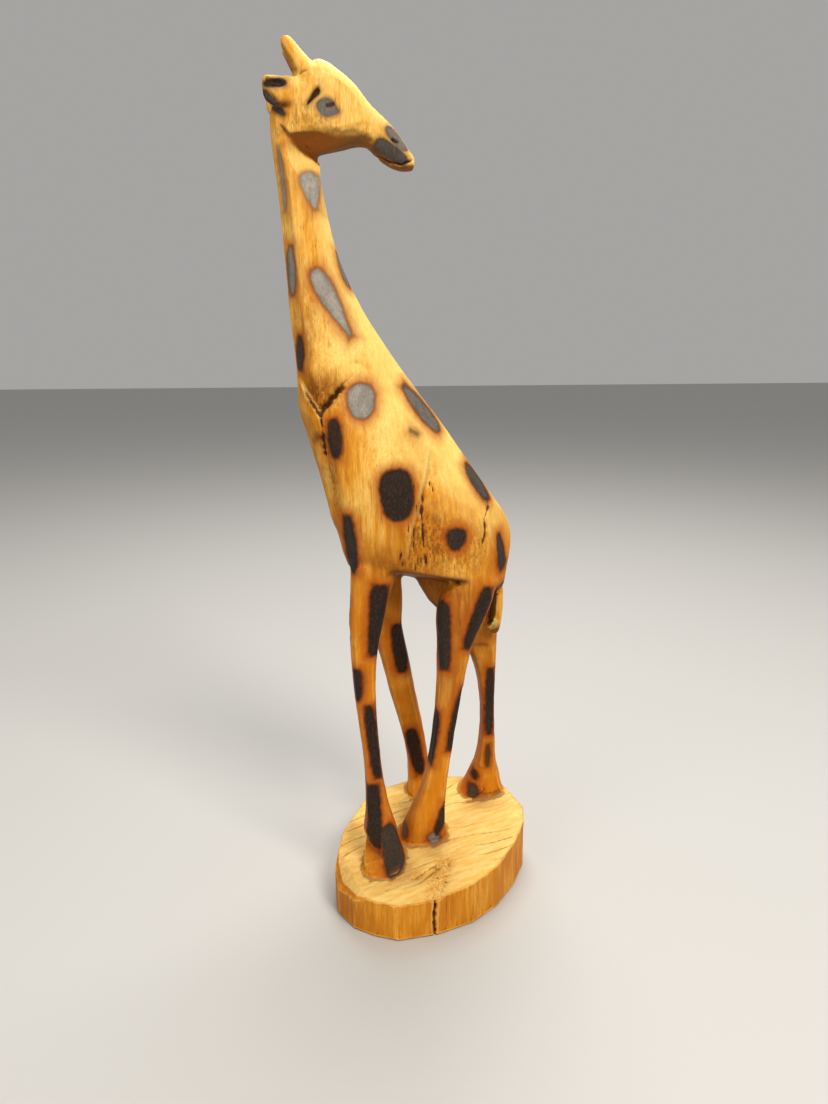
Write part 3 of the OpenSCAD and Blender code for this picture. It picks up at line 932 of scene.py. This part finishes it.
def plain_wood(w, darkness, orange):
    """Oiled light wood with an upright grain, paler high up and more orange towards the ground, which partly
    paints light from above and shade low down.
    """
    swayed = w.sway(w.stretch(w.mm, (1, 1, 0.35)), 9, 2.2)
    upright = w.stretch(swayed, (1, 1, 0.22))
    w.streaks = w.grain(upright, 1.9, 4, 0.62)
    w.fibres = w.grain(upright, 0.33, 2, 0.6)
    w.pores = w.fit(w.grain(w.stretch(swayed, (1, 1, 0.3)), 0.4, 2, 0.5), 0.64, 0.72)
    clouds = w.grain(w.stretch(w.mm, (1, 1, 0.5)), 15, 2, 0.5)
    tone = w.math("ADD", w.times(w.streaks, 0.6), w.times(clouds, 0.6))
    # paler higher up: partly painted light from above
    tone = w.math("ADD", tone, w.fit(w.height(), 60, 330, -0.07 - darkness, 0.08 - darkness))
    colour = w.mix(w.fit(tone, 0.42, 0.62), AMBER, HONEY)
    colour = w.mix(w.fit(tone, 0.55, 0.82), colour, PALE)
    colour = w.mix(w.fit(w.fibres, 0.35, 0.75, 0.0, 0.55), colour, AMBER)
    grime = w.grain(w.stretch(swayed, (1, 1, 0.16)), 0.9, 3, 0.6)
    colour = w.mix(w.fit(grime, 0.55, 0.72, 0.0, 0.55), colour, GRIME)
    colour = w.mix(w.times(w.pores, 0.4), colour, UMBER)
    # more orange towards the ground: partly painted shade low down
    return w.mix(w.fit(w.height(), 90, 225, orange, 0.0), colour, ORANGE)


def cut_wood(w, colour):
    """Fresh cuts on the slab's top and the tail's chip, with stains and a torn patch."""
    fresh = w.field("fresh")
    swept = w.stretch(w.turn(w.sway(w.mm, 8, 2), -STROKES), (0.14, 1, 1))
    cut = w.mix(w.fit(w.grain(swept, 1.8, 4, 0.6), 0.3, 0.65), CUT_GRAIN, CUT)
    colour = w.mix(w.times(fresh, 0.85), colour, cut)
    stains = w.grain(w.stretch(w.sway(w.mm, 12, 4), (0.5, 1, 1)), 9, 3, 0.6)
    colour = w.mix(w.times(fresh, w.fit(stains, 0.5, 0.68, 0.0, 0.3)), colour, CUT_STAIN)
    ragged = w.fit(w.grain(w.mm, 0.9, 3, 0.6), 0.4, 0.6, 0.1, 0.7)
    return w.mix(w.times(w.field("torn"), ragged), colour, AMBER)


def used_wood(w, colour):
    """Pits and smoke, partly painted shade. Worn edges paler; hollows darker with painted shade and grime;
    undersides darker with painted shade; a painted highlight.
    """
    pits = w.fit(w.grain(w.stretch(w.mm, (1, 1, 0.5)), 1.3, 4, 0.75), 0.46, 0.56)
    colour = w.mix(w.times(w.field("pitted"), pits), colour, PITS)
    worn = w.field("worn")
    # painted shade with grime in the hollows, then paler worn edges
    colour = w.mix(w.fit(worn, 0.15, 0.9, 0.0, 0.6), colour, UMBER)
    colour = w.mix(w.fit(worn, -0.2, -0.9, 0.0, 0.4), colour, PALE)
    # painted highlight
    colour = w.mix(w.times(w.field("bleached"), 0.55), colour, BLEACHED)
    # painted shade on the undersides
    colour = w.mix(w.times(w.field("under"), 0.9), colour, SHADE)
    patchy = w.fit(w.streaks, 0.3, 0.7, 1.0, 0.55)
    # smoke stains and painted shade
    return w.mix(w.times(w.field("smoke"), patchy), colour, SMOKED)


def burnt_wood(w, colour):
    """The spots: black in the middle, grey where ash and a painted sheen lie on the char, then brown, then an
    orange halo that fades out.
    """
    glow = w.field("glow")
    char = w.field("char")
    uneven = w.math("SUBTRACT", w.grain(w.stretch(w.mm, (1, 1, 0.6)), 2.2, 4, 0.65), 0.5)
    away = w.math("ADD", w.field("burn"), w.times(uneven, w.fit(glow, 0, 1, 0.9, 2.2)))
    halo = w.times(w.fit(away, 0.0, 6.2, 0.95, 0.0), w.times(char, glow))
    rim = w.times(w.fit(away, -0.1, 2.0, 1.0, 0.0), w.times(char, w.fit(glow, 0, 1, 0.5, 1)))
    w.core = w.times(w.fit(away, -0.3, 0.6, 1.0, 0.0), char)
    w.crust = w.grain(w.stretch(w.mm, (1, 1, 0.4)), 0.6, 3, 0.65)
    grey = w.field("ash")
    ash = w.times(w.math("POWER", grey, 2.2), w.fit(w.crust, 0.3, 0.75, 0.7, 1.0))
    ash = w.times(ash, w.fit(away, -1.6, 0.4, 1.0, 0.7))
    drifts = w.grain(w.stretch(w.mm, (1, 1, 0.4)), 3.5, 2, 0.5)
    ash = w.times(ash, w.fit(drifts, 0.35, 0.65, 0.75, 1.0))
    middle = w.mix(ash, w.mix(w.fit(w.crust, 0.4, 0.8), SOOT, CHARRED), ASH)
    colour = w.mix(halo, colour, EMBER)
    colour = w.mix(rim, colour, w.mix(w.math("POWER", grey, 3.0), SINGED, SINGED_BY_ASH))
    return w.mix(w.core, colour, middle)


def creased_wood(w, colour):
    """Dark in the cuts, with a ragged edge: painted shade in the cuts and cracks, and the char of the face's
    burnt lines.
    """
    crease = w.field("crease")
    ragged = w.times(w.math("SUBTRACT", w.grain(w.mm, 0.8, 3), 0.5), 0.5)
    deep = w.times(w.fit(w.math("ADD", crease, ragged), 0.25, 0.8), w.fit(crease, 0, 0.2))
    return w.mix(w.times(deep, 0.92), colour, CREVICE)


def oil(w):
    """A thin oil, drier on fresh cuts and in the char, over a fine relief."""
    rough = w.fit(w.streaks, 0.3, 0.7, 0.55, 0.45)
    rough = w.math("ADD", rough, w.times(w.field("fresh"), 0.2))
    rough = w.math("ADD", rough, w.times(w.core, w.fit(w.crust, 0.3, 0.7, 0.0, 0.12)))
    w.put(w.shader.inputs["Roughness"], rough)
    w.put(w.shader.inputs["Specular IOR Level"], 0.1)
    relief = w.math("ADD", w.times(w.streaks, 0.5), w.times(w.fibres, 0.3))
    relief = w.math("SUBTRACT", relief, w.times(w.pores, 0.6))
    normal = w.bump(relief, 0.16, 0.6)
    w.put(w.shader.inputs["Normal"], w.bump(w.times(w.crust, w.core), 0.3, 0.8, normal))


def wood(name, darkness, orange=0.55):
    """One wood material, with how dark it is and how orange near the ground, the orange partly painted shade.
    """
    w = Wood(name)
    colour = plain_wood(w, darkness, orange)
    colour = cut_wood(w, colour)
    colour = used_wood(w, colour)
    colour = burnt_wood(w, colour)
    w.put(w.shader.inputs["Base Color"], creased_wood(w, colour))
    oil(w)
    return w.material


# ---- pieces

SMALL = ("tail", "ear_left", "ear_right", "horn_left", "horn_right")
LABELS = ("slab", *LEGS, "torso", "neck", "head", *SMALL)
# The slab and the torso reach this far over the legs' ends, so the seams lie on the legs
SKIN_GAP = 0.4
SLOTS = {"slab": "slab_wood", "tail": "leg_wood", **{name: "leg_wood" for name in LEGS}}


def flat_lines():
    """Point and direction of each flat parting plane, and the heights that it applies to."""
    rows = []
    for (h, sx, sy), lift in ((SLAB_TOP, SKIN_GAP), (BELLY, -SKIN_GAP)):
        rows.append(((0, 0, h + lift), (-sx, -sy, 1), (0, 180)))
    rows.append(((0, 0, SHOULDER_Z), (0, 0, 1), (220, 240)))
    (x0, z0), (x1, z1) = THROAT
    rows.append(((x0, 0, z0), (z0 - z1, 0, x1 - x0), (315, 345)))
    return rows


def score_flat_lines(bm):
    """New edges along the flat planes, so that the pieces part cleanly there."""
    for point, face, (low, high) in flat_lines():
        point, face = Vector(point), Vector(face).normalized()
        faces = [f for f in bm.faces
                 if low < f.verts[0].co.z < high and abs((f.verts[0].co - point) @ face) < 2]
        edges = {e for f in faces for e in f.edges}
        verts = {v for e in edges for v in e.verts}
        near = [*verts, *edges, *faces]
        bmesh.ops.bisect_plane(bm, geom=near, plane_co=point, plane_no=face, dist=1e-4)


def nearest_node(middles, label):
    """Faces next to a CAD ear, horn or tail, closer than to any large node, take its label."""
    trees = {}
    for name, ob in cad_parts.items():
        verts = [v.co / MM for v in ob.data.vertices]
        trees[name] = BVHTree.FromPolygons(verts, [tuple(f.vertices) for f in ob.data.polygons])
    large = [trees[name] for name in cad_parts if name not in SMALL]
    for name in SMALL:
        low, high = (np.array(c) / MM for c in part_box(name))
        for k in np.where(((middles > low - 1.5) & (middles < high + 1.5)).all(1))[0]:
            spot = Vector(middles[k])
            gap = trees[name].find_nearest(spot)[3]
            if all(gap < tree.find_nearest(spot)[3] for tree in large):
                label[k] = LABELS.index(name)


def neighbours(mesh):
    """Every two faces that share an edge."""
    edge_of = gathered(mesh.loops, "edge_index", np.int64)
    sides = gathered(mesh.polygons, "loop_total", np.int64)
    face_of = np.repeat(np.arange(len(sides)), sides)
    order = np.argsort(edge_of, kind="stable")
    same = edge_of[order][1:] == edge_of[order][:-1]
    return np.stack([face_of[order][:-1][same], face_of[order][1:][same]], 1)


def same_part(pairs, label):
    """Number of the connected patch of one label that each face is in."""
    patch = np.arange(len(label))
    a, b = pairs[:, 0], pairs[:, 1]
    alike = label[a] == label[b]
    a, b = a[alike], b[alike]
    while True:
        low = np.minimum(patch[a], patch[b])
        before = patch.copy()
        np.minimum.at(patch, a, low)
        np.minimum.at(patch, b, low)
        patch = patch[patch]
        if (patch == before).all():
            return patch


def labelled(mesh):
    """Label of each face, with stray patches given to their neighbours."""
    middles = gathered(mesh.polygons, "center", width=3).reshape(-1, 3)
    z = middles[:, 2]
    (x0, z0), (x1, z1) = THROAT
    throat = z0 + (middles[:, 0] - x0) * (z1 - z0) / (x1 - x0)
    label = 1 + nearest_leg(middles)
    label[z > plane_z(BELLY, middles) - SKIN_GAP] = LABELS.index("torso")
    label[z > SHOULDER_Z] = LABELS.index("neck")
    label[(z > 300) & (z > throat)] = LABELS.index("head")
    label[z < plane_z(SLAB_TOP, middles) + SKIN_GAP] = LABELS.index("slab")
    nearest_node(middles, label)
    pairs = neighbours(mesh)
    for _ in range(3):
        patch = same_part(pairs, label)
        size = np.bincount(patch, minlength=len(label))
        largest = np.zeros(len(LABELS), int)
        np.maximum.at(largest, label, size[patch])
        stray = size[patch] < largest[label]
        for a, b in ((0, 1), (1, 0)):
            unlike = label[pairs[:, 0]] != label[pairs[:, 1]]
            across = pairs[unlike & stray[pairs[:, a]] & ~stray[pairs[:, b]]]
            renamed = dict(zip(patch[across[:, a]], label[across[:, b]]))
            for old, new in renamed.items():
                label[patch == old] = new
    return label


def close(mesh):
    """Holes are closed with flat-shaded faces, which the neighbouring piece hides."""
    with edited(mesh) as bm:
        for v in list(bm.verts):
            rim = [e for e in v.link_edges if e.is_boundary]
            if len(rim) > 2:
                bmesh.utils.vert_separate(v, rim)
        rim = [e for e in bm.edges if e.is_boundary]
        made = bmesh.ops.holes_fill(bm, edges=rim, sides=0)["faces"]
        for f in bmesh.ops.poke(bm, faces=made)["faces"]:
            f.smooth = False


def keep_normals(part):
    """The piece is shaded with the whole block's normals, so that its seams hardly show."""
    whole = np.stack([gathered(part.attributes[name].data, "value", np.float32) for name in NORMAL_FIELDS], 1)
    corner_vertex = gathered(part.loops, "vertex_index", np.int64)
    smooth = gathered(part.polygons, "use_smooth", bool)
    sides = gathered(part.polygons, "loop_total", np.int64)
    corner_normals = whole[corner_vertex] * np.repeat(smooth, sides)[:, None]
    part.normals_split_custom_set(corner_normals.tolist())
    for name in NORMAL_FIELDS:
        part.attributes.remove(part.attributes[name])


def cut_out(name, faces, p, fields):
    """A closed mesh in metres of some faces of the block, with their fields."""
    used = sorted({v for f in faces for v in f})
    place = dict(zip(used, range(len(used))))
    part = bpy.data.meshes.new(name)
    part.from_pydata((p[used] * MM).tolist(), [], [tuple(place[v] for v in f) for f in faces])
    part.polygons.foreach_set("use_smooth", np.ones(len(faces), bool))
    for field, values in fields.items():
        add_field(part, field, values[used])
    close(part)
    keep_normals(part)
    return part


def pieces(mesh, names, materials):
    """One closed piece for each CAD node, cut from the carved block."""
    with edited(mesh) as bm:
        score_flat_lines(bm)
    label = labelled(mesh)
    corners = [tuple(f.vertices) for f in mesh.polygons]
    p = read(mesh)
    fields = {name: gathered(mesh.attributes[name].data, "value", np.float32) for name in names}
    for k, node in enumerate(LABELS):
        mine = [corners[f] for f in np.where(label == k)[0]]
        part = cut_out("wood_" + node, mine, p, fields)
        ob = placed("wood_" + node, part)
        slot = SLOTS.get(node, "body_wood")
        part.materials.append(materials[slot])
        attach(ob, "root")
        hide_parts(node)


# ---- floor, lights, camera
# ---- floor, lights, camera

FLOOR_REACH = 3
FLOOR_COLOUR = (0.5, 0.495, 0.485, 1)

# The eye stands 265 mm up, 359 mm to the giraffe's left, a little ahead of the slab's middle
CAMERA_PLACE = (0.04595, 0.3591, 0.265)
CAMERA_HEADING = math.radians(6)
CAMERA_PITCH = math.radians(-15.8)
CAMERA_LENS = 27.03


def floor():
    """A plain pale floor, wide enough to fill the view."""
    mesh = bpy.data.meshes.new("floor")
    s = FLOOR_REACH
    mesh.from_pydata([(-s, -s, 0), (s, -s, 0), (s, s, 0), (-s, s, 0)], [], [(0, 1, 2, 3)])
    ob = placed("floor", mesh)
    m = bpy.data.materials.new("floor")
    m.use_nodes = True
    shader = m.node_tree.nodes["Principled BSDF"]
    shader.inputs["Base Color"].default_value = FLOOR_COLOUR
    shader.inputs["Roughness"].default_value = 0.7
    mesh.materials.append(m)


def lamp(name, place, target, size, watts, colour):
    """A round soft lamp, turned towards its target."""
    light = bpy.data.lights.new(name, "AREA")
    light.shape = "DISK"
    light.size = size
    light.energy = watts
    light.color = colour
    ob = placed(name, light)
    ob.location = place
    ob.rotation_euler = (Vector(target) - Vector(place)).to_track_quat("-Z", "Y").to_euler()


def camera():
    """The photo's own view."""
    data = bpy.data.cameras.new("camera")
    data.lens = CAMERA_LENS
    data.sensor_width = 36
    ob = placed("camera", data)
    level = math.cos(CAMERA_PITCH)
    forward = Vector((-math.sin(CAMERA_HEADING) * level, -math.cos(CAMERA_HEADING) * level,
                      math.sin(CAMERA_PITCH)))
    right = forward.cross(Vector((0, 0, 1))).normalized()
    up = right.cross(forward)
    rotation = Matrix((right, up, -forward)).transposed()
    ob.matrix_world = Matrix.Translation(CAMERA_PLACE) @ rotation.to_4x4()
    bpy.context.scene.camera = ob


def studio():
    """A pale room and three soft lamps: high on either side, and a weak one ahead."""
    world = bpy.data.worlds.new("studio")
    bpy.context.scene.world = world
    world.use_nodes = True
    room = world.node_tree.nodes["Background"]
    room.inputs["Color"].default_value = (1, 0.98, 0.95, 1)
    room.inputs["Strength"].default_value = 0.38
    lamp("key", (-0.35, 0.6, 0.85), (0, 0, 0.2), 0.4, 8.6, (1, 0.94, 0.83))
    lamp("top", (-0.1, -0.4, 0.95), (0, 0, 0.25), 0.6, 7.5, (1, 0.98, 0.94))
    lamp("fill", (0.8, 0.6, 0.4), (0, 0, 0.15), 0.7, 3.2, (1, 0.93, 0.82))
    bpy.context.scene.view_settings.view_transform = "Standard"


carving, field_names = carve()
pieces(carving, field_names, {
    "slab_wood": wood("slab_wood", 0.03, 0.15),
    "body_wood": wood("body_wood", 0),
    "leg_wood": wood("leg_wood", 0.02),
})
floor()
studio()
camera()
